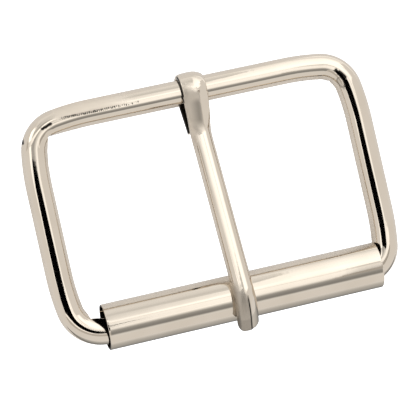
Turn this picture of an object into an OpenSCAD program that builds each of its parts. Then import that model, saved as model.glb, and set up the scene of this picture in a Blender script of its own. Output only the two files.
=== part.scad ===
// Roller buckle for a 50 mm strap: a bent wire frame, a loose tube on its lower
// bar and a prong whose eye turns on the upper bar. It lies on its back, prong up.
// X runs along the bars, Y from the roller to the prong's bar, Z up.
// The origin is the middle of the footprint, on the surface that it lies on.

/* [Frame] */
// Diameter of the frame's wire
wire_d = 4.5; // [4.2:0.1:4.6]
// Distance between the side bars, from wire centre to wire centre
frame_w = 56.8; // [56.6:0.1:64]
// Distance between the upper and the lower bar, from wire centre to wire centre
frame_h = 37.1; // [36:0.1:40]
// Radius of the wire's centreline in the two upper bends
upper_bend_r = 5.2; // [5:0.1:6]
// Radius of the wire's centreline in the lower left bend
left_bend_r = 5.6; // [5:0.1:6]
// Radius of the wire's centreline in the lower right bend
right_bend_r = 4.4; // [4.2:0.1:4.9]
// Radius of the slack curve by which a straight bar runs into a bend
ease_r = 40; // [20:1:45]
// Angle that each slack curve turns
ease_angle = 9; // [6:0.5:9.5]

/* [Bend creases] */
// Length of the flat that the bending die leaves on each side of a crease
mark_run = 5; // [4:0.5:6]
// Upper left crease, in from the window's corner along X
upper_left_mark_x = 0.92; // [0.8:0.01:1.1]
// Upper left crease, in from the window's corner along Y
upper_left_mark_y = 0.3; // [0.25:0.01:0.6]
// Upper right crease, in from the window's corner along X
upper_right_mark_x = 1.12; // [0.9:0.01:1.2]
// Upper right crease, in from the window's corner along Y
upper_right_mark_y = 0.95; // [0.8:0.01:1.1]
// Lower left crease, in from the window's corner along X
lower_left_mark_x = 1.2; // [1:0.01:1.3]
// Lower left crease, in from the window's corner along Y
lower_left_mark_y = 0.85; // [0.7:0.01:1]

/* [Roller] */
// Outer diameter of the roller
roller_d = 7.88; // [7.8:0.02:8.2]
// Wall of the roller's sheet
roller_wall = 0.36; // [0.3:0.01:0.38]
// Length of the roller
roller_len = 48.4; // [44:0.1:48.6]
// How far the roller stands to the right of the frame's middle
roller_shift = 1.4; // [0:0.1:1.5]
// How far the prong's tip holds the roller in towards the window
roller_inset = 1.08; // [0.8:0.01:1.1]
// Width of the open butt seam along the roller
seam_gap = 0.2; // [0.1:0.05:0.4]
// Direction in which the seam faces, counted from +Y towards +Z
seam_angle = -40; // [-60:5:-20]

/* [Prong] */
// How far the prong stands to the right of the frame's middle
prong_shift = 0.75; // [-3:0.05:3]
// Width of the prong's tongue, which is also its round top's diameter
tongue_w = 3.65; // [3.4:0.05:4]
// Depth of the tongue from its crown to its flat underside
tongue_h = 2.7; // [2.4:0.1:3]
// Width of the flattened strip where it passes round the bar
strip_w = 4.6; // [4.2:0.1:5]
// Thickness of the flattened strip at its crown
strip_t = 0.95; // [0.85:0.05:1]
// Radius of the crown across the strip
crown_r = 5.8; // [5:0.1:8]
// Play between the eye and the upper bar
eye_play = 0.1; // [0.08:0.01:0.12]
// Gap between the resting tongue and the roller
rest_gap = 0.1; // [0.08:0.01:0.2]
// Slope by which the tongue rises towards the roller
tongue_slope = 12; // [10:0.5:13]
// Slope by which the tip falls beyond the roller
tip_slope = 36; // [30:1:40]
// How far the tip reaches below the lower bar's centre, along Y
tip_reach = 4.7; // [4.4:0.1:5.2]
// Radius of the dome at the tip's end
tip_dome_r = 2.6; // [2.4:0.1:2.8]
// Where the tongue meets the two strips, up from the frame's middle
heel_y = 12; // [11.5:0.1:12.5]

/* [Hidden] */
$fn = 64;

// Pieces of one bar lap over each other by lap, and every second one is thicker by step
lap = 0.1;
step = 0.01;

wire_r = wire_d / 2;
upper_y = frame_h / 2;
lower_y = -frame_h / 2;
left_x = -frame_w / 2;
right_x = frame_w / 2;

// The eye: its hole, its ring and the height at which the ring carries the wire
hole_r = wire_r + eye_play;
ring_r = hole_r + strip_t;
wire_z = ring_r + step;

// The roller's axis, counted from the plane of the wire's centreline
roller_r = roller_d / 2;
roller_y = lower_y + roller_inset;
roller_z = roller_r - wire_z;

// The tongue: distance from its section's centre to its underside, and to the roller's axis
belly = tongue_h - tongue_w / 2;
tongue_ride = roller_r + rest_gap + belly;
tongue_start = [roller_y + tongue_ride * sin(tongue_slope), roller_z + tongue_ride * cos(tongue_slope)];
tongue_len = (heel_y - tongue_start.x) / cos(tongue_slope);
heel = tongue_start + tongue_len * [cos(tongue_slope), -sin(tongue_slope)];

// The tip: its end, so far along its slope that its dome reaches tip_reach below the lower bar
bend_end = [roller_y - tongue_ride * sin(tip_slope), roller_z + tongue_ride * cos(tip_slope)];
tip_y = lower_y - tip_reach;
tip_len = (bend_end.x - tip_y - tip_dome_r * (1 - cos(tip_slope))) / cos(tip_slope);
tip_end = bend_end - tip_len * [cos(tip_slope), sin(tip_slope)];

// The strips: straight runs that leave the eye's ring at a tangent and sink into the tongue
upper_sink = 2.4;
lower_sink = 1;
lower_bite = 0.25;
crown_meet = heel + [0, tongue_w / 2 / cos(tongue_slope)];
belly_meet = heel - [0, belly / cos(tongue_slope) - lower_bite];
upper_slope = tangent_angle(crown_meet, [upper_y, 0], ring_r);
lower_slope = tangent_angle([belly_meet.x, -belly_meet.y], [upper_y, 0], hole_r);

// The footprint's middle, which is the origin along Y
shift_y = -(upper_y + ring_r + tip_y) / 2;

// Angle at which a line from a point rises to touch a circle on its upper side
function tangent_angle(p, centre, r) =
    asin(r / norm(centre - p)) + atan2(centre.y - p.y, centre.x - p.x);

// Angle that laps a turn of radius r over its neighbour
function lap_turn(r) = lap / r * 180 / PI;

// Length that a bend takes from each of its bars
function bend_reach(r) = ease_r - (ease_r - r) * (cos(ease_angle) - sin(ease_angle));

// A straight run in the XY plane, or in a side view, with the section's X to its left
module run(from, heading, length)
    translate([from.x, from.y, 0]) rotate([0, 0, heading]) rotate([90, 0, 90])
        linear_extrude(length) children();

// A curved run about a centre, with the section's X pointing away from the centre
module turn(centre, start, sweep)
    translate([centre.x, centre.y, 0]) rotate([0, 0, start])
        rotate_extrude(angle = sweep) children();

// Turns a side view, drawn in Y and Z, so that it stands up with its thickness along X
module side_view() rotate([90, 0, 90]) children();

// Moves the buckle from its own centre to the origin
module placed() translate([0, shift_y, wire_z]) children();

// One bend of the wire, drawn for the upper right corner with the bars' crossing at 0
module bend(r) {
    reach = bend_reach(r);
    ease_x = -ease_r + (ease_r - r) * cos(ease_angle);
    ease_y = -reach + (ease_r - r) * sin(ease_angle);
    lap_angle = lap_turn(r);
    turn([-ease_r, -reach], 0, ease_angle)
        translate([ease_r, 0]) circle(r = wire_r - step);
    turn([ease_x, ease_y], ease_angle - lap_angle, 90 - 2 * (ease_angle - lap_angle))
        translate([r, 0]) circle(r = wire_r);
    turn([-reach, -ease_r], 90 - ease_angle, ease_angle)
        translate([ease_r, 0]) circle(r = wire_r - step);
}

// A straight bar between two corners, from one bend's reach to the other's
module bar(from, heading, length, first_reach, last_reach) {
    start = first_reach - lap;
    run(from + start * [cos(heading), sin(heading)], heading, length - start - last_reach + lap)
        circle(r = wire_r);
}

// The sharp-cornered die that creases the inside of a bend, for the upper right corner
module bend_die(in_x, in_y) {
    shy = 0.05;
    translate([-wire_r, -wire_r, 0])
        linear_extrude(2 * wire_d, center = true)
            polygon([
                [-in_x, -in_y],
                [-in_x - mark_run, -shy],
                [-2 * mark_run, -2 * mark_run],
                [-shy, -in_y - mark_run]
            ]);
}

// Puts a bend, drawn for the upper right corner, at the corner that lies so many degrees round
module at_corner(x, y, round)
    translate([x, y, 0]) rotate([0, 0, round]) children();

module frame() {
    upper_reach = bend_reach(upper_bend_r);
    left_reach = bend_reach(left_bend_r);
    right_reach = bend_reach(right_bend_r);
    color("silver") placed() difference() {
        union() {
            at_corner(right_x, upper_y, 0) bend(upper_bend_r);
            at_corner(left_x, upper_y, 90) bend(upper_bend_r);
            at_corner(left_x, lower_y, 180) bend(left_bend_r);
            at_corner(right_x, lower_y, -90) bend(right_bend_r);
            bar([left_x, upper_y], 0, frame_w, upper_reach, upper_reach);
            bar([left_x, lower_y], 0, frame_w, left_reach, right_reach);
            bar([left_x, lower_y], 90, frame_h, left_reach, upper_reach);
            bar([right_x, lower_y], 90, frame_h, right_reach, upper_reach);
        }
        at_corner(right_x, upper_y, 0) bend_die(upper_right_mark_x, upper_right_mark_y);
        at_corner(left_x, upper_y, 90) bend_die(upper_left_mark_y, upper_left_mark_x);
        at_corner(left_x, lower_y, 180) bend_die(lower_left_mark_x, lower_left_mark_y);
    }
}

// Sheet rolled into a tube, whose edges leave a narrow seam on its hidden side
module roller() {
    color("silver") placed()
        translate([roller_shift, roller_y, roller_z]) rotate([seam_angle, 0, 0]) side_view()
            difference() {
                cylinder(h = roller_len, r = roller_r, center = true);
                cylinder(h = roller_len + 1, r = roller_r - roller_wall, center = true);
                translate([roller_r - roller_wall / 2, 0, 0])
                    cube([3 * roller_wall, seam_gap, roller_len + 1], center = true);
            }
}

// Section of the tongue: a round bar with a flat underside, thicker all round by grow
module tongue_section(grow = 0)
    intersection() {
        circle(r = tongue_w / 2 + grow);
        translate([-belly - grow, -tongue_w]) square([belly + tongue_w, 2 * tongue_w]);
    }

// Section of the strip: flat inside at X = 0 and crowned outside, thicker on each face by grow
module strip_section(grow = 0)
    intersection() {
        translate([strip_t - crown_r, 0]) circle(r = crown_r + grow);
        translate([-grow, -strip_w / 2]) square([2 * strip_t, strip_w]);
    }

// Outline of the strips from above: full width round the bar, then down into the tongue's width
module strip_outline() {
    foot = tongue_w / 2 - lap;
    half = strip_w / 2 - lap;
    rotate([90, 0, 0]) linear_extrude(4 * ring_r, center = true)
        polygon([
            [heel_y - upper_sink, -foot],
            [upper_y, -half],
            [upper_y + 2 * ring_r, -half],
            [upper_y + 2 * ring_r, half],
            [upper_y, half],
            [heel_y - upper_sink, foot]
        ]);
}

// The eye's ring and the two strips that run from it into the tongue, in side view
module eye_strips() {
    upper_touch = [upper_y, 0] + hole_r * [-sin(upper_slope), cos(upper_slope)];
    lower_touch = [upper_y, 0] + hole_r * [-sin(lower_slope), -cos(lower_slope)];
    upper_end = heel_y - 2 * upper_sink;
    upper_len = (upper_touch.x - upper_end) / cos(upper_slope);
    lower_len = (lower_touch.x - heel_y + lower_sink) / cos(lower_slope);
    ring_start = -90 - lower_slope - lap_turn(hole_r);
    intersection() {
        union() {
            turn([upper_y, 0], ring_start, upper_slope + 90 + lap_turn(hole_r) - ring_start)
                translate([hole_r, 0]) strip_section(step);
            run(upper_touch - upper_len * [cos(upper_slope), sin(upper_slope)], upper_slope, upper_len)
                strip_section();
            mirror([0, 1, 0])
                run([lower_touch.x, -lower_touch.y] - lower_len * [cos(lower_slope), sin(lower_slope)],
                    lower_slope, lower_len)
                    strip_section();
        }
        strip_outline();
    }
}

// The tongue with its bend over the roller and its domed tip, in side view
module tongue() {
    over = lap_turn(tongue_ride);
    run(tongue_start, -tongue_slope, tongue_len) tongue_section();
    turn([roller_y, roller_z], 90 - tongue_slope - over, tongue_slope + tip_slope + 2 * over)
        translate([tongue_ride, 0]) tongue_section(step);
    intersection() {
        run(tip_end, tip_slope, tip_len) tongue_section();
        translate(tip_end + tip_dome_r * [cos(tip_slope), sin(tip_slope)]) sphere(r = tip_dome_r);
    }
}

module prong() {
    color("gainsboro") placed() translate([prong_shift, 0, 0]) side_view() {
        eye_strips();
        tongue();
    }
}

frame();
roller();
prong();
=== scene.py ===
import math

import bmesh
import bpy
from bpy.props import FloatProperty, FloatVectorProperty, IntProperty, PointerProperty
from mathutils import Matrix, Vector


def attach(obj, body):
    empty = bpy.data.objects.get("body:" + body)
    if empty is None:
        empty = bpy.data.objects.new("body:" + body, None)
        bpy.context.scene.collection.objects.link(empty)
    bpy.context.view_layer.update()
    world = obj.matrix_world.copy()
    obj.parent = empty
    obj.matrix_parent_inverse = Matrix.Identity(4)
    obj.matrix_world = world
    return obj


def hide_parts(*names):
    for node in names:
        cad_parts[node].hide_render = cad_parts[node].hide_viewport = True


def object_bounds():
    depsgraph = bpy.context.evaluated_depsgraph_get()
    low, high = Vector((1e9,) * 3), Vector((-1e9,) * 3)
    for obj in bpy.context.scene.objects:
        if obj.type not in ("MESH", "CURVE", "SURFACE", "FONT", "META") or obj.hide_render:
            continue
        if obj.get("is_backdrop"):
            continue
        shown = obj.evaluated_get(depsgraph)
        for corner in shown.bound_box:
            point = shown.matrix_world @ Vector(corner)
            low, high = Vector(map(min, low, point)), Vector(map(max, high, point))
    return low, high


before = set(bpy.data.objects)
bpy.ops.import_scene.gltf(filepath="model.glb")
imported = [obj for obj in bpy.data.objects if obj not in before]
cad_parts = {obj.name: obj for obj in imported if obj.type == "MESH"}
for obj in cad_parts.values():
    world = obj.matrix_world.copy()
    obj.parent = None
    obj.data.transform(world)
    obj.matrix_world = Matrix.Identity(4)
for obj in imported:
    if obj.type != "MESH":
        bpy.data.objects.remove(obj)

bl_info = {
    "name": "Roller buckle looks",
    "version": (1, 0, 0),
    "blender": (4, 5, 0),
    "location": "View3D > Sidebar > Buckle",
    "description": "Polished frame, roller and prong of a strap buckle, with its studio",
    "category": "Object",
}

CAD_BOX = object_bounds()
MM = 0.001
# Vertices closer than this, in metres, are one
MERGE = 1e-7
X_AXIS, Y_AXIS, Z_AXIS = Vector((1, 0, 0)), Vector((0, 1, 0)), Vector((0, 0, 1))


def size(name, default, description):
    """A size, given here in millimetres, that the sidebar shows in the scene's own unit."""
    return FloatProperty(name=name, default=default * MM, unit="LENGTH", subtype="DISTANCE",
                         precision=5, description=description)


def angle(name, default, description):
    """An angle, given here in degrees."""
    return FloatProperty(name=name, default=math.radians(default), unit="ROTATION",
                         subtype="ANGLE", description=description)


def tone(name, default, description):
    """A surface colour."""
    return FloatVectorProperty(name=name, default=default, size=3, min=0, max=1,
                               subtype="COLOR", description=description)


class WireSettings(bpy.types.PropertyGroup):
    """Sizes of the bent wire."""

    diameter: size("Wire", 4.5, "Diameter of the wire")
    width: size("Width", 56.8, "Between the side bars' centres")
    height: size("Height", 37.1, "Between the upper and the lower bar's centres")
    shift_y: size("Shift", 0.7, "How far the wire's middle stands from the origin")
    level: size("Level", 3.31, "Height of the wire's centre over the surface")
    upper_bend: size("Upper bends", 5.2, "Radius of the upper bends")
    left_bend: size("Lower left bend", 5.6, "Radius of the lower left bend")
    right_bend: size("Lower right bend", 4.4, "Radius of the lower right bend")
    slack_radius: size("Slack radius", 40.0, "Radius by which a bar runs into a bend")
    slack_angle: angle("Slack angle", 9.0, "Angle turned by each slack curve")
    around: IntProperty(name="Facets", default=96, min=24, max=160,
                        description="Facets round the wire")


class RollerSettings(bpy.types.PropertyGroup):
    """Sizes of the rolled tube."""

    diameter: size("Diameter", 7.88, "Outer diameter of the tube")
    wall: size("Wall", 0.36, "Thickness of the sheet")
    length: size("Length", 48.4, "Length of the tube")
    shift_x: size("Shift", 1.4, "How far the tube stands to the right")
    centre_y: size("Axis Y", -16.77, "Where the tube's axis lies")
    seam: size("Seam", 0.2, "Width of the open seam")
    seam_angle: angle("Seam direction", -40.0, "From +Y towards +Z")
    around: IntProperty(name="Facets", default=144, min=24, max=200,
                        description="Facets round the tube")


class ProngSettings(bpy.types.PropertyGroup):
    """Sizes of the prong."""

    centre_x: size("Place", 0.75, "How far the prong stands to the right")
    hole_radius: size("Eye", 2.35, "Inner radius of the eye")
    strip: size("Strip", 0.95, "Thickness of the strip round the bar")
    tongue_width: size("Tongue width", 3.65, "Width of the tongue")
    tongue_depth: size("Tongue depth", 2.7, "Depth of the tongue")
    rest_gap: size("Rest gap", 0.1, "Gap between the tongue and the roller")
    heel_y: size("Heel", 12.0, "Where the strips run into the tongue, from the wire's middle")
    tip_reach: size("Tip", 4.7, "How far the tip reaches past the lower bar's centre")
    rise: angle("Rise", 12.0, "Slope of the tongue towards the roller")
    fall: angle("Fall", 36.0, "Slope of the tip beyond the roller")


class FinishSettings(bpy.types.PropertyGroup):
    """Colour of the plating, and the near-black colour painted as shade on inside faces."""

    nickel: tone("Nickel", (0.683, 0.604, 0.510), "Colour of the polished plating")
    # Painted shade: the near-black colour of faces that lie in shade
    shade: tone("Shaded inside", (0.03, 0.025, 0.02), "Colour of the unpolished inside faces")


class StudioSettings(bpy.types.PropertyGroup):
    """Camera, room and floor."""

    azimuth: angle("Azimuth", -10.92, "Camera's turn to the side")
    tilt: angle("Tilt", -1.49, "Camera's turn towards the roller")
    roll: angle("Roll", -12.78, "Turn of the picture")
    distance: size("Distance", 378.0, "From the wire's middle to the camera")
    lens: FloatProperty(name="Lens", default=191.91, unit="CAMERA",
                        description="Focal length in millimetres")
    shift_x: FloatProperty(name="Shift X", default=-0.00825, description="Camera shift")
    shift_y: FloatProperty(name="Shift Y", default=-0.0252, description="Camera shift")
    surround: FloatProperty(name="Surround", default=0.96,
                            description="Brightness of the pale room")
    floor: tone("Floor", (0.9, 0.9, 0.9), "Colour of the pale floor")


def settings(name):
    """The sizes that the sidebar holds for one group of pieces."""
    return getattr(bpy.context.scene, "buckle_" + name)


# Mesh helpers

def soft_step(share):
    """Runs softly from 0 to 1."""
    share = min(1.0, max(0.0, share))
    return share * share * (3 - 2 * share)


def finish_mesh(bm, name, part, materials, sharp=math.radians(35)):
    """Turns a finished bmesh into a piece that stands for a CAD node, and rides on its body."""
    bmesh.ops.remove_doubles(bm, verts=bm.verts, dist=MERGE)
    bmesh.ops.recalc_face_normals(bm, faces=bm.faces)
    for face in bm.faces:
        face.smooth = True
    for edge in bm.edges:
        edge.smooth = len(edge.link_faces) == 2 and edge.calc_face_angle(0) < sharp
    mesh = bpy.data.meshes.new(name)
    bm.to_mesh(mesh)
    bm.free()
    for material in materials:
        mesh.materials.append(material)
    piece = bpy.data.objects.new(name, mesh)
    bpy.context.scene.collection.objects.link(piece)
    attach(piece, part)
    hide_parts(part)


def once(items):
    """Each of the items once, in their order."""
    return list(dict.fromkeys(items))


def verts_of(geom):
    """Vertices among what an operator made."""
    return [v for v in geom if isinstance(v, bmesh.types.BMVert)]


def edges_of(geom):
    """Edges among what an operator made."""
    return [e for e in geom if isinstance(e, bmesh.types.BMEdge)]


def push(bm, edges, offset, steps):
    """Runs a loop straight on, in so many steps."""
    for _ in range(steps):
        out = bmesh.ops.extrude_edge_only(bm, edges=edges)["geom"]
        bmesh.ops.translate(bm, vec=offset / steps, verts=verts_of(out))
        edges = edges_of(out)
    return edges


def swing(bm, edges, centre, axis, turn, steps):
    """Runs a loop round a centre, in so many steps."""
    geom = once(v for e in edges for v in e.verts) + list(edges)
    out = bmesh.ops.spin(bm, geom=geom, cent=centre, axis=axis, angle=turn, steps=steps,
                         use_duplicate=False, use_merge=False, use_normal_flip=False)
    return edges_of(out["geom_last"])


# Bent wire

BAR_STEPS, SLACK_STEPS, BEND_STEPS = 12, 14, 60


def bend_reach(radius, wire):
    """Length that a bend takes from each of its bars."""
    slack, turn = wire.slack_radius, wire.slack_angle
    return slack - (slack - radius) * (math.cos(turn) - math.sin(turn))


def wire_loop(bm, wire):
    """Sweeps the wire's section once round the frame, anticlockwise from the lower bar."""
    half_w, half_h = wire.width / 2, wire.height / 2
    middle = Vector((0, wire.shift_y, wire.level))
    corners = [(half_w, -half_h, wire.right_bend), (half_w, half_h, wire.upper_bend),
               (-half_w, half_h, wire.upper_bend), (-half_w, -half_h, wire.left_bend)]
    start = Vector((0, -half_h, 0)) + middle
    place, heading = start, 0.0
    upright = Matrix.Translation(start) @ Matrix.Rotation(math.pi / 2, 4, "Y")
    bmesh.ops.create_circle(bm, segments=wire.around, radius=wire.diameter / 2, matrix=upright)
    edges = list(bm.edges)
    for x, y, radius in corners:
        corner = Vector((x, y, 0)) + middle
        forward = Vector((math.cos(heading), math.sin(heading), 0))
        run = (corner - place).dot(forward) - bend_reach(radius, wire)
        edges = push(bm, edges, forward * run, BAR_STEPS)
        place = place + forward * run
        slack = (wire.slack_radius, wire.slack_angle, SLACK_STEPS)
        tight = (radius, math.pi / 2 - 2 * wire.slack_angle, BEND_STEPS)
        for bend, turn, steps in (slack, tight, slack):
            centre = place + bend * Vector((-math.sin(heading), math.cos(heading), 0))
            edges = swing(bm, edges, centre, Z_AXIS, turn, steps)
            place = centre + Matrix.Rotation(turn, 3, "Z") @ (place - centre)
            heading += turn
    push(bm, edges, start - place, BAR_STEPS)
    bmesh.ops.remove_doubles(bm, verts=bm.verts, dist=MERGE)


def slice_flat(bm, within, planes):
    """Cuts away what lies beyond both planes, and closes the cut with two flat faces."""
    tiny = 1e-8

    def on_plane(v, co, no):
        return abs((v.co - co).dot(no)) < 2 * tiny

    for co, no in planes:
        near = [f for f in bm.faces if within(f.calc_center_median())]
        geom = near + once(e for f in near for e in f.edges)
        geom += once(v for f in near for v in f.verts)
        bmesh.ops.bisect_plane(bm, geom=geom, dist=tiny / 10, plane_co=co, plane_no=no)
    gone = []
    for f in bm.faces:
        c = f.calc_center_median()
        if within(c) and all((c - co).dot(no) > tiny for co, no in planes):
            gone.append(f)
    bmesh.ops.delete(bm, geom=gone, context="FACES")
    rim = [e for e in bm.edges if len(e.link_faces) == 1]
    crossing = [v for v in once(v for e in rim for v in e.verts)
                if all(on_plane(v, co, no) for co, no in planes)]
    if len(crossing) != 2:
        raise RuntimeError("a crease meets the wire at %d points" % len(crossing))
    rim.append(bm.edges.new(crossing))
    for co, no in planes:
        part = [e for e in rim if all(on_plane(v, co, no) for v in e.verts)]
        if not bmesh.ops.contextual_create(bm, geom=part)["faces"]:
            raise RuntimeError("a flat could not be closed")


# Creases: the bend, its turn from the upper right one in degrees, and how far off the inner faces
# of its two bars the flats meet, in millimetres
CREASES = [((1, 1), 0, 1.12, 0.95), ((-1, 1), 90, 0.3, 0.92), ((-1, -1), 180, 1.2, 0.85)]


def crease(bm, wire, corner, turn, in_x, in_y):
    """The crease that the bending die leaves inside a bend: two flats, which run out along the
    bars."""
    run, shy = 5 * MM, 0.05 * MM
    radius = wire.diameter / 2
    spin = Matrix.Rotation(turn, 3, "Z")
    middle = Vector((0, wire.shift_y, wire.level))
    spot = Vector((corner[0] * wire.width / 2, corner[1] * wire.height / 2, 0)) + middle
    apex = spot + spin @ Vector((-radius - in_x, -radius - in_y, 0))
    first = spin @ Vector((-(in_y - shy), -run, 0)).normalized()
    second = spin @ Vector((-run, -(in_x - shy), 0)).normalized()
    back = spin.transposed()

    def under_die(point):
        local = back @ (point - spot) + Vector((radius, radius, 0))
        return local.x > -in_x - run and local.y > -in_y - run and local.length < 3 * run

    slice_flat(bm, under_die, [(apex, first), (apex, second)])


# Dull spots and painted dark reflections on the bends: both ends (X, Y) and reach in millimetres,
# dullness, and the darkness painted in as dark reflection
FRAME_DULL_AND_PAINTED_DARK_SPOTS = [((-26.0, 17.98), (-24.4, 18.5), 0.24, 0.0, 0.98),
               ((-29.5, 16.9), (-29.6, 16.35), 0.22, 0.5, 0.98),
               ((25.75, 17.45), (26.15, 16.95), 0.24, 0.0, 0.98),
               ((26.2, 16.85), (26.9, 15.85), 0.42, 0.0, 0.98),
               ((26.05, 15.7), (26.5, 14.65), 0.46, 0.2, 0.5),
               ((26.1, 15.65), (26.5, 14.75), 0.28, 0.3, 0.15)]


def nearest(spot, first, second):
    """Point of a segment that is nearest to a spot."""
    along = second - first
    share = (spot - first).dot(along) / along.length_squared
    return first + along * min(1.0, max(0.0, share))


def paint_frame_spots(bm, wire):
    """Writes the dull spots and the painted dark reflections on the upper side into the attribute of
    dullness and painted darkness.
    """
    soft_edge = 0.08
    finish_and_painted_shade = bm.verts.layers.float_color["finish_and_painted_shade"]
    for v in bm.verts:
        v[finish_and_painted_shade] = (0, 0, 0, 1)
    upper = [v for v in bm.verts if v.co.z > wire.level]
    for first, second, reach, dull, dark in FRAME_DULL_AND_PAINTED_DARK_SPOTS:
        first, second = Vector(first) * MM, Vector(second) * MM
        for v in upper:
            spot = Vector((v.co.x, v.co.y))
            away = (spot - nearest(spot, first, second)).length / MM
            share = soft_step(0.5 + (reach - away) / soft_edge)
            r, g = v[finish_and_painted_shade][0], v[finish_and_painted_shade][1]
            v[finish_and_painted_shade] = (r + (dull - r) * share, g + (dark - g) * share, 0, 1)


class BUCKLE_OT_frame(bpy.types.Operator):
    """Bends the wire of the frame, with the creases that the bending die leaves"""

    bl_idname = "buckle.frame"
    bl_label = "Frame"

    def execute(self, context):
        wire = settings("wire")
        bm = bmesh.new()
        bm.verts.layers.float_color.new("finish_and_painted_shade")
        wire_loop(bm, wire)
        for corner, turn, in_x, in_y in CREASES:
            crease(bm, wire, corner, math.radians(turn), in_x * MM, in_y * MM)
        # Painted dark reflections on the bends, some of them also dulled
        paint_frame_spots(bm, wire)
        finish_mesh(bm, "frame_wire", "frame",
                    [nickel("nickel_frame", 1.0, dulled_and_painted=True, chattered=True)],
                    sharp=math.radians(11))
        return {"FINISHED"}


# Rolled tube

class BUCKLE_OT_roller(bpy.types.Operator):
    """Rolls the sheet into the tube, with an open seam on its hidden side"""

    bl_idname = "buckle.roller"
    bl_label = "Roller"

    def execute(self, context):
        tube = settings("roller")
        radius = tube.diameter / 2
        slit = tube.seam / radius
        end_run, softened = 0.3 * MM, 0.12 * MM
        bm = bmesh.new()
        # Long section of the sheet, with its last cut close to each end
        grid = bmesh.ops.create_grid(bm, x_segments=20, y_segments=1, size=0.5)
        for v in grid["verts"]:
            if 0.4 < abs(v.co.x) < 0.48:
                v.co.x = math.copysign(0.5 - end_run / tube.length, v.co.x)
        bmesh.ops.scale(bm, vec=(tube.length, tube.wall, 1), verts=grid["verts"])
        bmesh.ops.translate(bm, vec=(0, radius - tube.wall / 2, 0), verts=grid["verts"])
        tips = [v for v in bm.verts if abs(v.co.x) > 0.499 * tube.length]
        bmesh.ops.bevel(bm, geom=tips, offset=softened, offset_type="OFFSET",
                        segments=4, profile=0.5, affect="VERTICES", material=-1,
                        clamp_overlap=True)
        # The outline of the section, rolled round the axis
        bmesh.ops.dissolve_faces(bm, faces=list(bm.faces), use_verts=False)
        bmesh.ops.delete(bm, geom=list(bm.faces), context="FACES_ONLY")
        swing(bm, list(bm.edges), Vector((0, 0, 0)), X_AXIS, 2 * math.pi - slit, tube.around)
        rims = [e for e in bm.edges if len(e.link_faces) == 1]
        bmesh.ops.holes_fill(bm, edges=rims, sides=0)
        turn = Matrix.Rotation(tube.seam_angle + slit / 2, 3, "X")
        bmesh.ops.rotate(bm, cent=(0, 0, 0), matrix=turn, verts=bm.verts)
        middle = Vector((tube.shift_x, tube.centre_y, radius))
        bmesh.ops.translate(bm, vec=middle, verts=bm.verts)
        # Its inside and its cut ends get the near-black metal, painted shade, all but their outermost
        # part
        for face in bm.faces:
            c = face.calc_center_median() - middle
            cut_end = abs(c.x) > tube.length / 2 - 0.05 * MM
            bright = 0.2 if cut_end else 0.9
            face.material_index = int(math.hypot(c.y, c.z) < radius - bright * tube.wall)
        finish_mesh(bm, "roller_tube", "roller", [nickel("nickel_roller", 2.0), painted_shade_metal()])
        return {"FINISHED"}


# Prong

# Steps along the prong's parts, and round it from each point of a section to the next
RETURN_STEPS, RING_STEPS, STRIP_STEPS, VALLEY_STEPS = 12, 72, 30, 24
TONGUE_STEPS, OVER_STEPS, TIP_STEPS, DOME_STEPS = 60, 32, 12, 14
FINE = 5
# Sections as (across, below the crown) in millimetres, from the left edge over the top and back.
# On the strip and the ring the upper side is a flat on the left and a slope on the right.
STRIP_SECTION = [(-2.22, -0.80), (-2.25, -0.26), (-2.12, -0.05), (-1.4, 0.0), (-0.5, 0.0),
                 (0.4, 0.0), (0.8, -0.10), (1.7, -0.48), (2.2, -0.72), (2.3, -0.86),
                 (2.1, -0.95), (1.0, -0.95), (0.0, -0.95), (-1.0, -0.95), (-2.0, -0.95),
                 (-2.17, -0.92)]
RING_SECTION = [(-2.27, -0.84), (-2.3, -0.52), (-2.1, -0.22), (-1.5, -0.06), (-0.7, 0.0),
                (0.2, 0.0), (0.9, -0.08), (1.65, -0.34), (2.15, -0.66), (2.28, -0.86),
                (2.1, -0.95), (1.0, -0.95), (0.0, -0.95), (-1.0, -0.95), (-2.0, -0.95),
                (-2.2, -0.93)]
TONGUE_SECTION = [(-1.825, -1.825), (-1.686, -1.127), (-1.29, -0.535), (-0.698, -0.139),
                  (0.0, 0.0), (0.698, -0.139), (1.29, -0.535), (1.686, -1.127),
                  (1.825, -1.825), (1.715, -2.449), (1.45, -2.70), (0.75, -2.70),
                  (0.0, -2.70), (-0.75, -2.70), (-1.45, -2.70), (-1.715, -2.449)]
TIP_SECTION = [(-1.85, -1.55), (-1.80, -0.85), (-1.55, -0.30), (-1.1, -0.06), (-0.5, 0.0),
               (0.02, -0.02), (0.30, -0.14), (1.28, -0.80), (1.85, -1.60), (1.73, -2.449),
               (1.45, -2.70), (0.75, -2.70), (0.0, -2.70), (-0.75, -2.70), (-1.45, -2.70),
               (-1.73, -2.449)]
# Place of the right edge in each section
RIGHT_EDGE = 8


def mix_sections(first, second, share):
    """A section between two others."""
    return [(a[0] + (b[0] - a[0]) * share, a[1] + (b[1] - a[1]) * share)
            for a, b in zip(first, second)]


def smooth_section(points):
    """Draws a smooth closed line through the points, with FINE steps from each to the next."""
    out = []
    count, pull = len(points), 0.42
    for i in range(count):
        near = [points[(i + k) % count] for k in (-1, 0, 1, 2)]
        for t in (step / FINE for step in range(FINE)):
            row = []
            for a, b, c, d in zip(*near):
                leave, arrive = (c - a) * pull, (d - b) * pull
                row.append((2 * t ** 3 - 3 * t ** 2 + 1) * b + (t ** 3 - 2 * t ** 2 + t) * leave
                           + (3 * t ** 2 - 2 * t ** 3) * c + (t ** 3 - t ** 2) * arrive)
            out.append(tuple(row))
    return out


def tangent_slope(point, centre, radius):
    """Angle at which a line from a point rises to touch a circle on its upper side."""
    away = centre - point
    return math.asin(radius / away.length) + math.atan2(away.y, away.x)


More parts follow.
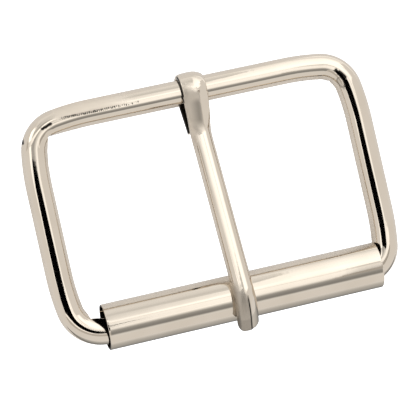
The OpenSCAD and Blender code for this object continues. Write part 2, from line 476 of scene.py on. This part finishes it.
def prong_stations():
    """Places along the prong: crown point and outward direction in Y and Z from the wire's middle,
    section, narrowing and tones. The tones are how far to the right the satin flat reaches, in
    millimetres, its painted darkness, and the painted darkness of the line along its edge, of the
    shade that deepens towards that edge (lee) and of the prong's left rim. The flat's and the line's
    darkness stand for darker reflections, the lee's and the rim's for shade."""
    prong, wire, tube = settings("prong"), settings("wire"), settings("roller")
    bar = Vector((wire.height / 2, 0))
    outer = prong.hole_radius + prong.strip
    half = prong.tongue_width / 2
    belly = prong.tongue_depth - half
    # How far the return strip is sunk into the tongue and runs on past the heel, and how far short
    # of the tip the section's run ends
    sunk, past_heel, tip_inset = 0.25 * MM, 0.6 * MM, 0.75 * MM
    roller = Vector((tube.centre_y - wire.shift_y, tube.diameter / 2 - wire.level))
    ride = tube.diameter / 2 + prong.rest_gap + belly
    up, down = prong.rise, prong.fall
    start = roller + ride * Vector((math.sin(up), math.cos(up)))
    heel = start + (prong.heel_y - start.x) / math.cos(up) * Vector((math.cos(up), -math.sin(up)))
    crown_meet = heel + Vector((0, half / math.cos(up)))
    belly_meet = heel - Vector((0, belly / math.cos(up) - sunk))
    upper = tangent_slope(crown_meet, bar, outer)
    lower = tangent_slope(Vector((belly_meet.x, -belly_meet.y)), bar, prong.hole_radius)
    rows = []

    def add(point, out, section, narrow=1.0, flat=-3.0, dark=0.0, line=0.0, lee=0.0, rim=0.0):
        rows.append((point, out, section, narrow, (flat, dark, line, lee, rim)))

    # Return strip, from its end under the tongue to the ring
    lower_out = Vector((-math.sin(lower), -math.cos(lower)))
    lower_run = Vector((-math.cos(lower), math.sin(lower)))
    touch = bar + outer * lower_out
    run = (touch.x - (prong.heel_y - past_heel)) / math.cos(lower)
    for t in (i / RETURN_STEPS for i in range(RETURN_STEPS)):
        point = touch + lower_run * run * (1 - t)
        add(point, lower_out, STRIP_SECTION, 0.88 + 0.16 * t)
    # Ring round the bar, with painted shade on its left rim and a faint painted darkening of its satin
    # flat
    first = math.atan2(lower_out.y, lower_out.x)
    sweep = (math.pi / 2 + upper - first) % (2 * math.pi)
    for t in (i / RING_STEPS for i in range(RING_STEPS + 1)):
        a = first + sweep * t
        out = Vector((math.cos(a), math.sin(a)))
        rounded = math.sin(math.pi * min(t, 0.5)) ** 0.5
        add(bar + outer * out, out, mix_sections(STRIP_SECTION, RING_SECTION, rounded),
            narrow=1.04 - 0.08 * t, dark=0.04,
            flat=-2.5 + 2.0 * soft_step((t - 0.76) / 0.14) + soft_step((t - 0.9) / 0.1),
            rim=0.98 * soft_step((t - 0.54) / 0.06))
    # Upper strip, down to the valley, with painted shade on its left rim and on its flat (lee), and a
    # painted dark reflection along the flat's edge
    upper_out = Vector((-math.sin(upper), math.cos(upper)))
    rise_out = Vector((math.sin(up), math.cos(up)))
    upper_touch = bar + outer * upper_out
    valley = 5.0 * MM
    drop = (crown_meet - upper_touch).normalized()
    straight = (crown_meet - upper_touch).length - valley * math.tan((upper + up) / 2)
    half_touch, half_valley, half_tongue = 2.2, 1.96, TONGUE_SECTION[RIGHT_EDGE][0]
    thick = 0.12
    for t in (i / STRIP_STEPS for i in range(1, STRIP_STEPS + 1)):
        section = mix_sections(STRIP_SECTION, TONGUE_SECTION, thick * soft_step((t - 0.7) / 0.3))
        section = mix_sections(RING_SECTION, section, soft_step(t / 0.4))
        half_now = half_touch + (half_valley - half_touch) * t
        add(upper_touch + drop * straight * t, upper_out, section,
            narrow=half_now / section[RIGHT_EDGE][0], flat=0.5, dark=0.04,
            line=0.35 * min(1, 2 * t), lee=0.42 * soft_step((t - 0.05) / 0.3),
            rim=0.98 * soft_step((0.3 - t) / 0.15))
    # Valley, through which the strip thickens into the tongue, and the painted line and shade fade out
    hub = upper_touch + drop * straight + valley * upper_out
    for t in (i / VALLEY_STEPS for i in range(1, VALLEY_STEPS + 1)):
        a = upper - (upper + up) * t
        out = Vector((-math.sin(a), math.cos(a)))
        section = mix_sections(STRIP_SECTION, TONGUE_SECTION, thick + (1 - thick) * soft_step(t))
        half_now = half_valley + (half_tongue - half_valley) * t
        add(hub - valley * out, out, section, narrow=half_now / section[RIGHT_EDGE][0],
            flat=0.5 - 1.4 * soft_step((t - 0.72) / 0.28),
            line=0.35 * max(0.0, 1 - 1.6 * t), lee=0.42 * max(0.0, 1 - 1.8 * t))
    # Tongue, rising to the roller; near its end the satin flat starts, painted darker as a darker
    # reflection
    tongue_end = start + half * rise_out
    tongue_start = hub - valley * rise_out
    for t in (i / TONGUE_STEPS for i in range(1, TONGUE_STEPS + 1)):
        ending = soft_step((t - 0.9) / 0.1)
        add(tongue_start + (tongue_end - tongue_start) * t, rise_out, TONGUE_SECTION,
            flat=-0.9 - 1.4 * soft_step(t / 0.12) + 1.4 * ending, dark=0.35 * ending)
    # Bend over the roller, with a painted darker reflection on its satin flat and a painted dark
    # reflection line along the flat's edge
    for t in (i / OVER_STEPS for i in range(1, OVER_STEPS + 1)):
        a = up - (up + down) * t
        out = Vector((math.sin(a), math.cos(a)))
        add(roller + (ride + half) * out, out, mix_sections(TONGUE_SECTION, TIP_SECTION, t),
            flat=-0.9 + 1.06 * soft_step(t / 0.25), dark=0.35,
            line=1.4 * soft_step((t - 0.15) / 0.3))
    # Tip, with its rounded end, painted like the bend: darker reflection on the flat and a dark line
    # along its edge
    fall_out = Vector((-math.sin(down), math.cos(down)))
    fall_run = Vector((-math.cos(down), -math.sin(down)))
    bend_end = roller + (ride + half) * fall_out
    tip_y = -wire.height / 2 - prong.tip_reach
    mid = bend_end - half * fall_out
    reach = (mid.x - tip_y) / math.cos(down) - tip_inset
    dome = 0.9 * MM
    tones = {"flat": 0.16, "dark": 0.45, "line": 1.4}
    for t in (i / TIP_STEPS for i in range(1, TIP_STEPS + 1)):
        add(bend_end + fall_run * (reach - dome) * t, fall_out, TIP_SECTION, **tones)
    for t in (i / DOME_STEPS for i in range(1, DOME_STEPS + 1)):
        a = 0.97 * math.pi / 2 * t
        narrow = math.cos(a) ** 0.42
        point = bend_end + fall_run * (reach - dome + dome * math.sin(a))
        add(point - fall_out * (1 - narrow) * half, fall_out, TIP_SECTION, narrow, **tones)
    return rows


def tube_loops(bm, around, along):
    """The loops of vertices of a tube, which the caller moves into place."""
    ring = bmesh.ops.create_circle(bm, segments=around, radius=1 * MM)["verts"]
    loops = [list(ring)]
    for _ in range(along - 1):
        last = loops[-1]
        edges = [bm.edges.get(pair) for pair in zip(last, last[1:] + last[:1])]
        out = set(verts_of(bmesh.ops.extrude_edge_only(bm, edges=edges)["geom"]))
        loops.append([next(e.other_vert(v) for e in v.link_edges if e.other_vert(v) in out)
                      for v in last])
    return loops


def tone_at(across, flat, dark, line, lee, rim):
    """Dullness of the prong's plating at a place across it, in millimetres, and its painted
    darkness, which stands for darker reflections and shade.
    """
    line_reach, lee_start, lee_run, rim_start, rim_run = 0.22, -1.7, 1.6, -2.1, 0.1
    slope = 2.0 if line else 0.9
    dull = min(1.0, max(0.0, 0.5 + slope * (flat - across)))
    line_dark = min(1.0, line * max(0.0, 1 - abs(across - flat) / line_reach))
    lee_dark = lee * dull * min(1.0, max(0.0, (across - lee_start) / lee_run))
    rim_dark = rim * soft_step((rim_start - across) / rim_run)
    return dull, max(dull * dark, line_dark, lee_dark, rim_dark)


class BUCKLE_OT_prong(bpy.types.Operator):
    """Draws the prong's section along the prong, from the strip's end round the bar to the tip"""

    bl_idname = "buckle.prong"
    bl_label = "Prong"

    def execute(self, context):
        prong, wire = settings("prong"), settings("wire")
        rows = prong_stations()
        bm = bmesh.new()
        finish_and_painted_shade = bm.verts.layers.float_color.new("finish_and_painted_shade")
        loops = tube_loops(bm, FINE * len(STRIP_SECTION), len(rows))
        strip_end = RETURN_STEPS + RING_STEPS + 1 + STRIP_STEPS
        # The strip's inner side and the return strip's left edge get the near-black metal, painted
        # shade
        inner = set()
        for index, (loop, (point, out, section, narrow, tones)) in enumerate(zip(loops, rows)):
            for v, (across, below) in zip(loop, smooth_section(section)):
                depth = below * MM * (narrow if section is TIP_SECTION else 1.0)
                y = point.x + out.x * depth + wire.shift_y
                z = point.y + out.y * depth + wire.level
                v.co = (prong.centre_x + across * MM * narrow, y, z)
                # Dullness, and painted darkness of reflections and shade
                v[finish_and_painted_shade] = (*tone_at(across, *tones), 0, 1)
                hidden_side = index < RETURN_STEPS + 2 and across < -2.1
                if index < strip_end and below < -0.9 or hidden_side:
                    inner.add(v)
        for loop in (loops[0], loops[-1]):
            bmesh.ops.contextual_create(bm, geom=loop)
        for face in bm.faces:
            face.material_index = int(all(v in inner for v in face.verts))
        finish_mesh(bm, "prong_bar", "prong",
                    [nickel("nickel_prong", 3.0, dulled_and_painted=True), painted_shade_metal()])
        return {"FINISHED"}


# Materials

def node(tree, kind, place, inputs=(), **values):
    """A node of a tree, with its own values and those of its sockets."""
    made = tree.nodes.new(kind)
    made.location = place
    for key, value in values.items():
        setattr(made, key, value)
    for key, value in dict(inputs).items():
        made.inputs[key].default_value = value
    return made


def one_shader(name, kind, inputs=()):
    """A material with one shader, and the tree and the shader to build it on."""
    material = bpy.data.materials.new(name)
    material.use_nodes = True
    tree = material.node_tree
    tree.nodes.clear()
    out = node(tree, "ShaderNodeOutputMaterial", (900, 0))
    shader = node(tree, kind, (600, 0), inputs)
    tree.links.new(shader.outputs[0], out.inputs[0])
    return material, tree, shader


def calc(tree, operation, *values):
    """A math node, fed with sockets or plain numbers."""
    made = node(tree, "ShaderNodeMath", (0, 0), operation=operation)
    for socket, value in zip(made.inputs, values):
        if isinstance(value, (int, float)):
            socket.default_value = value
        else:
            tree.links.new(value, socket)
    return made.outputs[0]


def fade(tree, value, start, stop):
    """Runs softly from 0 to 1 while a value runs from start to stop, in millimetres."""
    made = node(tree, "ShaderNodeMapRange", (0, 0), {"From Min": start * MM, "From Max": stop * MM},
                interpolation_type="SMOOTHSTEP")
    tree.links.new(value, made.inputs["Value"])
    return made.outputs[0]


def noise(tree, place, coords, scale, detail):
    """Noise from 0 to 1 in the given coordinates."""
    made = node(tree, "ShaderNodeTexNoise", place, {"Scale": scale, "Detail": detail})
    tree.links.new(coords, made.inputs["Vector"])
    return made.outputs["Fac"]


def two_colours(tree, place, value, first, last, start=0.0, stop=1.0):
    """Runs from the first colour to the last while a value runs from start to stop."""
    ramp = node(tree, "ShaderNodeValToRGB", place)
    elements = ramp.color_ramp.elements
    elements[0].position, elements[1].position = start, stop
    elements[0].color, elements[1].color = (*first, 1), (*last, 1)
    tree.links.new(value, ramp.inputs[0])
    return ramp.outputs[0]


def bump(tree, place, height, strength, depth):
    """Raises the surface by a height."""
    made = node(tree, "ShaderNodeBump", place, {"Strength": strength, "Distance": depth})
    tree.links.new(height, made.inputs["Height"])
    return made


def chatter(tree, coords):
    """Dullness and darkness of the bending die's marks on the upper bar: a dull stretch, with a
    toothed row of pits below it."""
    pitch, tooth, pit_dark = 0.34 * MM, 0.17, 0.93
    few, many = 0.70, 0.46
    parts = node(tree, "ShaderNodeSeparateXYZ", (-900, 900))
    tree.links.new(coords, parts.inputs[0])
    x, y, z = parts.outputs
    top = fade(tree, z, 3.4, 4.4)
    along = calc(tree, "MULTIPLY", fade(tree, x, -24.6, -22.6), fade(tree, x, -7.5, -15.5))
    dull = calc(tree, "MULTIPLY", along, fade(tree, y, 18.9, 19.15))
    row = calc(tree, "MULTIPLY", fade(tree, y, 18.80, 18.92), fade(tree, y, 19.36, 19.20))
    # Pits lie where a toothed noise passes a level, which is lowest where the row is densest
    teeth = calc(tree, "SINE", calc(tree, "MULTIPLY", x, 2 * math.pi / pitch))
    grain = noise(tree, (-900, 1200), coords, 3300, 1.0)
    dulling_and_darkening = calc(tree, "MULTIPLY_ADD", teeth, tooth, grain)
    dense = calc(tree, "MULTIPLY", fade(tree, x, -22.9, -21.8), fade(tree, x, -8, -19))
    level = calc(tree, "MULTIPLY_ADD", dense, many - few, few)
    pits = calc(tree, "MULTIPLY", calc(tree, "GREATER_THAN", dulling_and_darkening, level), row)
    pits = calc(tree, "MULTIPLY", pits, calc(tree, "GREATER_THAN", dense, 0.02))
    return (calc(tree, "MULTIPLY", dull, top),
            calc(tree, "MULTIPLY", calc(tree, "MULTIPLY", pits, top), pit_dark))


def dulled_and_painted_plate(tree, coords, colour, gloss, chattered):
    """Dulls the plate by the attribute's red, darkens it by its green, which is painted shade and
    painted dark reflection, and adds the chatter.
    """
    satin = 0.42
    dulling_and_darkening = node(tree, "ShaderNodeAttribute", (-450, 550), attribute_name="finish_and_painted_shade")
    split = node(tree, "ShaderNodeSeparateColor", (-250, 550))
    tree.links.new(dulling_and_darkening.outputs["Color"], split.inputs[0])
    dull, dark = split.outputs[0], split.outputs[1]
    if chattered:
        more_dull, more_dark = chatter(tree, coords)
        dull = calc(tree, "MAXIMUM", dull, more_dull)
        dark = calc(tree, "MAXIMUM", dark, more_dark)
    grey = node(tree, "ShaderNodeCombineColor", (200, 500))
    light = calc(tree, "SUBTRACT", 1.0, dark)
    for socket in grey.inputs[:3]:
        tree.links.new(light, socket)
    tint = node(tree, "ShaderNodeMix", (350, 300), {"Factor": 1.0}, data_type="RGBA",
                blend_type="MULTIPLY")
    tree.links.new(colour, tint.inputs[6])
    tree.links.new(grey.outputs[0], tint.inputs[7])
    return tint.outputs[2], calc(tree, "MULTIPLY_ADD", dull, satin, gloss)


def nickel(name, seed, dulled_and_painted=False, chattered=False):
    """Bright nickel plate, slightly wavy. The seed sets its noise apart from another piece's."""
    known = bpy.data.materials.get(name)
    if known:
        return known
    material, tree, shader = one_shader(name, "ShaderNodeBsdfPrincipled", {"Metallic": 1.0})
    coords = node(tree, "ShaderNodeTexCoord", (-900, 0)).outputs["Object"]
    place = node(tree, "ShaderNodeMapping", (-700, 0),
                 {"Location": (seed * 0.013, seed * 0.007, seed * 0.003)})
    tree.links.new(coords, place.inputs[0])
    # Slow drift of the plating's colour and gloss
    cloud = noise(tree, (-450, 250), place.outputs[0], 160, 4)
    base = settings("finish_and_painted_shade").nickel
    darker = [value * share for value, share in zip(base, (0.95, 0.945, 0.93))]
    colour = two_colours(tree, (-150, 250), cloud, darker, base, 0.35, 0.7)
    rough = node(tree, "ShaderNodeMapRange", (150, -50), {"To Min": 0.03, "To Max": 0.07})
    tree.links.new(cloud, rough.inputs["Value"])
    gloss = rough.outputs[0]
    # The attribute's red dulls the plate; its green is painted darkness of shade and reflections
    if dulled_and_painted:
        colour, gloss = dulled_and_painted_plate(tree, coords, colour, gloss, chattered)
    tree.links.new(colour, shader.inputs["Base Color"])
    tree.links.new(gloss, shader.inputs["Roughness"])
    # Waviness left under the plating, and its fine grain
    wave = noise(tree, (-450, -150), place.outputs[0], 420, 2)
    grain = noise(tree, (-450, -400), place.outputs[0], 5200, 3)
    low = bump(tree, (150, -250), wave, 0.05, 0.12 * MM)
    high = bump(tree, (350, -350), grain, 0.02, 0.01 * MM)
    tree.links.new(low.outputs[0], high.inputs["Normal"])
    tree.links.new(high.outputs[0], shader.inputs["Normal"])
    return material


def painted_shade_metal():
    """Near-black metal, painted shade, for the tube's inside and cut ends and the prong's hidden
    faces.
    """
    name = "painted_shade_inside"
    known = bpy.data.materials.get(name)
    if known:
        return known
    material, tree, shader = one_shader(name, "ShaderNodeBsdfPrincipled",
                                        {"Metallic": 1.0, "Roughness": 0.45})
    coords = node(tree, "ShaderNodeTexCoord", (-600, 0)).outputs["Object"]
    grain = noise(tree, (-350, 0), coords, 900, 5)
    shade = settings("finish_and_painted_shade").shade
    colour = two_colours(tree, (-100, 0), grain, [value * 0.4 for value in shade], shade)
    tree.links.new(colour, shader.inputs["Base Color"])
    return material


# Studio

# Tints of the cards: bright cool ones, dim warm ones, and a few between
CARD_TINT = (0.985, 1, 1.01)
WARM_TINT = (1, 0.97, 0.93)
PALE_TINT = (1, 0.98, 0.95)
# Half the floor's width, in metres
FLOOR_REACH = 1.5


def glow(name, colour, strength):
    """Plain light-giving material of a studio card."""
    return one_shader(name, "ShaderNodeEmission",
                      {"Color": (*colour, 1), "Strength": strength})[0]


def fading_glow(name, along_x, along_y):
    """Card material: brightness stops (millimetres, value) along X, times those along Y."""
    material, tree, light = one_shader(name, "ShaderNodeEmission", {"Color": (*CARD_TINT, 1)})
    coords = node(tree, "ShaderNodeTexCoord", (-1000, 0))
    parts = node(tree, "ShaderNodeSeparateXYZ", (-800, 0))
    tree.links.new(coords.outputs["Object"], parts.inputs[0])
    shades = []
    for axis, stops in (("X", along_x), ("Y", along_y)):
        first, last = stops[0][0], stops[-1][0]
        most = max(value for _, value in stops)
        place = node(tree, "ShaderNodeMapRange", (-600, 0),
                     {"From Min": first * MM, "From Max": last * MM})
        ramp = node(tree, "ShaderNodeValToRGB", (-400, 0))
        elements = ramp.color_ramp.elements
        while len(elements) < len(stops):
            elements.new(0.5)
        for element, (where, value) in zip(elements, stops):
            element.position = (where - first) / (last - first)
            element.color = (value / most, value / most, value / most, 1)
        tree.links.new(parts.outputs[axis], place.inputs["Value"])
        tree.links.new(place.outputs[0], ramp.inputs[0])
        shades.append(calc(tree, "MULTIPLY", ramp.outputs[0], most))
    tree.links.new(calc(tree, "MULTIPLY", *shades), light.inputs["Strength"])
    return material


def stage_piece(name, bm, material, unseen_by):
    """Turns a bmesh into a piece of the studio, which the given kinds of rays don't see."""
    mesh = bpy.data.meshes.new(name)
    bm.to_mesh(mesh)
    bm.free()
    mesh.materials.append(material)
    piece = bpy.data.objects.new(name, mesh)
    bpy.context.scene.collection.objects.link(piece)
    for rays in unseen_by:
        setattr(piece, "visible_" + rays, False)
    piece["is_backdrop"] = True


def card(name, points, height, material):
    """A flat card over the buckle, with its corners in millimetres. Only reflections see it."""
    bm = bmesh.new()
    bm.faces.new([bm.verts.new((x * MM, y * MM, height * MM)) for x, y in points])
    stage_piece(name, bm, material, ("camera", "diffuse", "shadow", "transmission"))


def flat_floor(name, height, colour, emission, unseen_by):
    """A wide matt floor that also gives light of its own."""
    bm = bmesh.new()
    bmesh.ops.create_grid(bm, x_segments=8, y_segments=8, size=FLOOR_REACH)
    bmesh.ops.translate(bm, vec=(0, 0, height), verts=bm.verts)
    material = one_shader(name, "ShaderNodeBsdfPrincipled",
                          {"Base Color": (*colour, 1), "Roughness": 0.9,
                           "Specular IOR Level": 0.0, "Emission Color": (1, 1, 1, 1),
                           "Emission Strength": emission})[0]
    stage_piece(name, bm, material, unseen_by)


class BUCKLE_OT_studio(bpy.types.Operator):
    """Sets the pale floor and room, the cards that the metal mirrors, and the camera"""

    bl_idname = "buckle.studio"
    bl_label = "Studio"

    def execute(self, context):
        studio, wire = settings("studio"), settings("wire")
        scene = context.scene
        # The camera sees one floor, and the metal mirrors another, which its own shade darkens
        flat_floor("floor", -0.05 * MM, studio.floor, 0.85, ("glossy", "diffuse", "shadow"))
        flat_floor("mirrored_floor", -0.01 * MM, (0.9, 0.91, 0.93), 0.1, ("camera", "shadow"))
        # Pale room
        world = bpy.data.worlds.new("pale_room")
        scene.world = world
        world.use_nodes = True
        back = world.node_tree.nodes["Background"]
        back.inputs["Color"].default_value = (1, 1, 1, 1)
        back.inputs["Strength"].default_value = studio.surround
        # Cards, in millimetres. Where two cross, the lower one hides the other. The first one is the
        # black band of the side bars.
        level = 374
        card("flag", [(-372, 8), (-374, -25), (-390, -42), (-440, -62), (-450, -98), (-380, -100),
                      (-300, -118), (-235, -134), (-200, -158), (-140, -177), (-80, -178),
                      (-30, -160), (8, -142), (22, -100), (24, -36), (30, -16), (22, -25),
                      (12, -32), (0, -38), (-22, -44), (-21, -36), (-18, -27), (-9, -16),
                      (6, -12), (18, -9.5), (32, -8), (39, -4), (36, 1), (27, 6), (20, 11),
                      (15, 16), (11, 22), (2, 28), (-14, 35), (-35, 40), (-70, 43), (-110, 50),
                      (-150, 58), (-205, 66), (-240, 75), (-256, 52), (-300, 32), (-348, 17)],
             level, glow("card_black", (0, 0, 0), 0))
        # Lower left bend, and the inner side of the upper right one
        card("notch", [(-30, -56), (2, -50), (34, -14), (36, -5), (16, -5), (-14, -10)], level + 1,
             glow("card_notch", (1, 1, 1), 2.0))
        card("low_light", [(-450, -90), (-380, -90), (-190, -130), (-60, -165), (-60, -213),
                           (-140, -223), (-230, -242), (-330, -190), (-430, -165), (-490, -130)],
             level + 1, glow("card_low", (1, 1, 1), 1.45))
        card("low_dim", [(-640, -190), (-430, -165), (-330, -190), (-230, -242), (-140, -223),
                         (10, -213), (14, -360), (-300, -390), (-640, -360)], level + 1,
             glow("card_low_dim", WARM_TINT, 0.66))
        # Upper left bend
        card("haze", [(-242, 20), (30, -4), (24, 85), (-90, 140), (-242, 128)], level + 1,
             fading_glow("card_haze", [(-242, 0.8), (-200, 0.58), (-90, 0.6), (-45, 0.84),
                                       (-12, 1.04), (30, 1.15)],
                         [(-4, 1), (72, 1), (95, 0.85), (140, 0.85)]))
        card("side_low", [(-420, -40), (-330, -40), (-242, 20), (-242, 88), (-262, 138),
                          (-335, 200), (-325, 320), (-310, 700), (-900, 1000), (-800, 600),
                          (-560, 300), (-448, 228), (-440, 90)], level + 1,
             fading_glow("card_side", [(-900, 1.2), (-600, 1.2), (-450, 1.06), (-242, 0.98)],
                         [(-40, 1.5), (60, 1.5), (110, 1.75), (1000, 1.9)]))
        card("dim_left", [(-325, 200), (-262, 138), (-242, 88), (20, 85), (22, 330), (-325, 330)],
             level + 1,
             fading_glow("card_dim_left", [(-325, 0.95), (-230, 0.7), (-120, 0.55), (-50, 0.72),
                                           (22, 1.0)], [(85, 1), (330, 1)]))
        # Far sides of the roller and the upper bar
        card("rear_left", [(-420, 555), (150, 555), (420, 1900), (700, 5000), (-2400, 5000),
                           (-900, 1900)], level,
             fading_glow("card_rear_left", [(-2400, 1), (700, 1)],
                         [(555, 0.9), (700, 1.0), (1100, 1.08), (5000, 1.1)]))
        card("rear_right", [(104, 290), (480, 290), (640, 555), (2600, 1900), (6000, 5000),
                            (700, 5000), (420, 1900), (164, 600), (134, 480), (120, 420),
                            (108, 350)], level,
             fading_glow("card_rear_right", [(104, 0.88), (125, 0.97), (170, 1.03), (350, 1.14),
                                             (700, 1.05), (6000, 1)],
                         [(290, 1.74), (420, 1.64), (640, 1.48), (1300, 1.2), (2600, 1.14),
                          (5000, 1.1)]))
        # Highlights along the roller and the upper bar
        card("window", [(-420, 42), (22, 45), (22, -95), (112, -95), (120, -40), (150, 32),
                        (200, 50), (300, 92), (460, 150), (460, 560), (-420, 560)], level + 2,
             fading_glow("card_white", [(-420, 0.5), (-330, 0.55), (-70, 0.62), (15, 0.8),
                                        (45, 0.97), (110, 1.0), (190, 1.04), (260, 1.04),
                                        (400, 0.74), (460, 0.62)],
                         [(-95, 1.42), (-55, 1.5), (20, 1.55), (55, 1.54), (75, 1.62), (105, 1.74),
                          (135, 1.78), (200, 1.84), (270, 1.78), (330, 1.62), (560, 1.15)]))
        card("window_left", [(15, 140), (60, 140), (95, 168), (112, 205), (112, 390), (128, 450),
                             (15, 460)], level,
             fading_glow("card_window_left", [(15, 0.62), (35, 0.66), (60, 0.73), (85, 0.82),
                                              (112, 1.0), (128, 1.0)],
                         [(140, 2.3), (160, 2.05), (200, 1.8), (250, 1.72), (300, 1.62),
                          (375, 1.5), (460, 1.38)]))
        card("near_left", [(20, -93), (72, -93), (72, 138), (20, 138)], level + 1,
             fading_glow("card_near_left", [(20, 0.78), (36, 0.89), (55, 0.99), (72, 1.0)],
                         [(-93, 1.62), (-60, 1.52), (55, 1.55), (75, 1.6), (105, 1.74),
                          (138, 1.84)]))
        # Right end of the roller, and the lower right bend
        card("end_dim", [(110, -95), (150, -95), (140, 30), (128, 92), (113, 92), (110, 40)],
             level + 1, fading_glow("card_end", [(110, 1.32), (118, 1.1), (130, 0.95), (150, 0.7)],
                                    [(-95, 0.72), (-50, 0.95), (5, 1.03), (30, 1.2), (50, 0.92),
                                     (84, 0.96), (92, 1.15)]))
        card("low_right", [(118, -10), (170, -14), (250, -22), (250, -30), (165, -31), (128, -28)],
             level, glow("card_low_right", (1, 1, 1), 1.6))
        card("right_dim", [(111, -165), (250, -165), (250, -34), (150, -34), (136, -92), (111, -97)],
             level + 1, glow("card_right_dim", WARM_TINT, 0.55))
        # The tongue's highlight and its left flank
        card("tongue_light", [(32, 150), (32, 215), (-110, 215), (-220, 232), (-350, 262),
                              (-700, 400), (-700, 290), (-350, 165), (-220, 146), (-110, 140)],
             level - 1,
             fading_glow("card_tongue", [(-700, 0.5), (-350, 0.72), (-110, 0.97), (-20, 1.04),
                                         (32, 0.95)], [(140, 1.76), (400, 1.76)]))
        card("tongue_side", [(-700, 290), (-700, 400), (-1600, 1000), (-1600, 450)], level,
             glow("card_tongue_side", PALE_TINT, 0.68))
        # Grey band along the near sides of the roller and the upper bar
        card("shade", [(15, -560), (215, -560), (185, -165), (185, -90), (22, -90)], level + 4,
             fading_glow("card_grey", [(0, 1), (330, 1)],
                         [(-560, 0.97), (-480, 1.0), (-440, 0.98), (-400, 0.8), (-358, 0.44),
                          (-310, 0.32), (-225, 0.4), (-175, 0.52), (-135, 0.95), (-105, 1.32),
                          (-90, 1.42)]))
        # Thin lines along the roller and the upper bar
        card("far_line", [(-200, 480), (50, 445), (92, 352), (102, 328), (110, 390), (130, 462),
                          (161, 600), (90, 600), (-200, 560)], level - 4,
             fading_glow("card_line", [(-200, 1.0), (30, 1.0), (75, 0.92), (172, 0.92)],
                         [(328, 1.06), (460, 1), (520, 0.96), (600, 1)]))
        card("near_line", [(20, 84), (60, 68), (130, 22), (130, 34), (60, 80), (20, 96)], level - 4,
             glow("card_thin", PALE_TINT, 1.2))
        # Just over the floor: light beyond the upper right bend, and a card of painted shade close to
        # the roller, which only reflections see
        card("corner_light", [(30, 40), (110, 30), (1300, 800), (250, 1100)], 1,
             glow("card_corner", CARD_TINT, 1.5))
        card("painted_contact_shade", [(-40, -90), (45, -90), (45, -20.9), (-40, -20.9)], 0.03,
             fading_glow("card_painted_contact_shade", [(-40, 1), (45, 1)],
                         [(-90, 0.95), (-48, 0.82), (-28, 0.55), (-24, 0.36), (-20.9, 0.15)]))
        # Camera
        az, tilt = studio.azimuth, studio.tilt
        view = Vector((math.sin(az) * math.cos(tilt), math.sin(tilt),
                       math.cos(az) * math.cos(tilt)))
        right = Y_AXIS.cross(view).normalized()
        up = view.cross(right)
        c, s = math.cos(studio.roll), math.sin(studio.roll)
        side, top = c * right + s * up, -s * right + c * up
        eye = Vector((0, wire.shift_y, wire.level)) + view * studio.distance
        data = bpy.data.cameras.new("camera")
        data.sensor_fit = "HORIZONTAL"
        data.sensor_width = 36
        data.lens = studio.lens
        data.shift_x, data.shift_y = studio.shift_x, studio.shift_y
        data.clip_start, data.clip_end = 0.01, 20
        camera = bpy.data.objects.new("camera", data)
        scene.collection.objects.link(camera)
        turned = Matrix((side, top, view)).transposed().to_4x4()
        camera.matrix_world = Matrix.Translation(eye) @ turned
        scene.camera = camera
        scene.view_settings.view_transform = "Standard"
        return {"FINISHED"}


class BUCKLE_PT_sidebar(bpy.types.Panel):
    """Sizes and buttons of the buckle"""

    bl_label = "Buckle"
    bl_idname = "BUCKLE_PT_sidebar"
    bl_space_type = "VIEW_3D"
    bl_region_type = "UI"
    bl_category = "Buckle"

    def draw(self, context):
        layout = self.layout
        for group, operator in (("wire", "buckle.frame"), ("roller", "buckle.roller"),
                                ("prong", "buckle.prong"), ("finish_and_painted_shade", None),
                                ("studio", "buckle.studio")):
            box = layout.box()
            values = settings(group)
            for name in values.bl_rna.properties.keys():
                if name not in ("rna_type", "name"):
                    box.prop(values, name)
            if operator:
                box.operator(operator)


GROUPS = {"wire": WireSettings, "roller": RollerSettings, "prong": ProngSettings,
          "finish_and_painted_shade": FinishSettings, "studio": StudioSettings}
CLASSES = [BUCKLE_OT_frame, BUCKLE_OT_roller, BUCKLE_OT_prong, BUCKLE_OT_studio,
           BUCKLE_PT_sidebar]


def register():
    for cls in list(GROUPS.values()) + CLASSES:
        bpy.utils.register_class(cls)
    for name, cls in GROUPS.items():
        setattr(bpy.types.Scene, "buckle_" + name, PointerProperty(type=cls))


def unregister():
    for name in GROUPS:
        delattr(bpy.types.Scene, "buckle_" + name)
    for cls in reversed(list(GROUPS.values()) + CLASSES):
        bpy.utils.unregister_class(cls)


def corners(box):
    return [[float(v) for v in corner] for corner in box]


def main():
    register()
    bpy.ops.buckle.studio()
    bpy.ops.buckle.frame()
    bpy.ops.buckle.roller()
    bpy.ops.buckle.prong()
    {"cad": corners(CAD_BOX), "visual": corners(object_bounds())}


if __name__ == "__main__":
    main()
